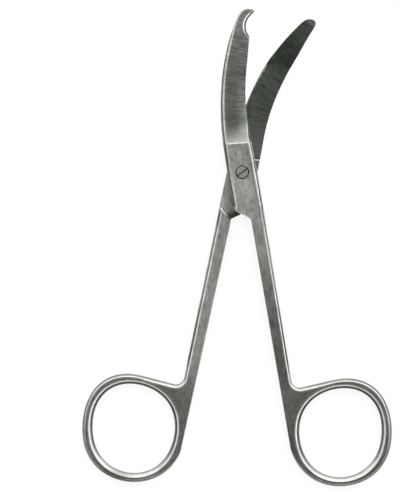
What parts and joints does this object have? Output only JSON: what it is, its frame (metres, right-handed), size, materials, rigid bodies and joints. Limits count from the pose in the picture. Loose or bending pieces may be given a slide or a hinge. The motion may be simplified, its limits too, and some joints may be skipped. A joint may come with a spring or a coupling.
{
  "type": "suture scissors",
  "caption": "Slender all-metal surgical scissors with curved blades on a screw pivot, one blade ending in a hook for lifting and cutting a stitch.",
  "frame": {"origin": "on the pivot axis, at the flush tail end of the screw and in the plane that the scissors lie on", "axes": "+Y from the pivot towards the blade tips, halfway between the two halves; +Z along the pivot axis, up from the plane that the scissors lie on; +X to the side of the hooked half's finger ring"},
  "size_m": [0.0761, 0.1168, 0.0037],
  "materials": {
    "satin_steel": "satin, finely ground",
    "screw_steel": "satin, turned"
  },
  "bodies": {
    "plain": {"plain_half": "satin_steel", "pivot_screw": "screw_steel"},
    "hooked": {"hooked_half": "satin_steel"}
  },
  "joints": [
    {"name": "blade_pivot", "type": "hinge", "parent": "plain", "child": "hooked", "pos_m": [0, 0, 0], "axis": [0, 0, 1], "range_deg": [-22, 110]}
  ]
}
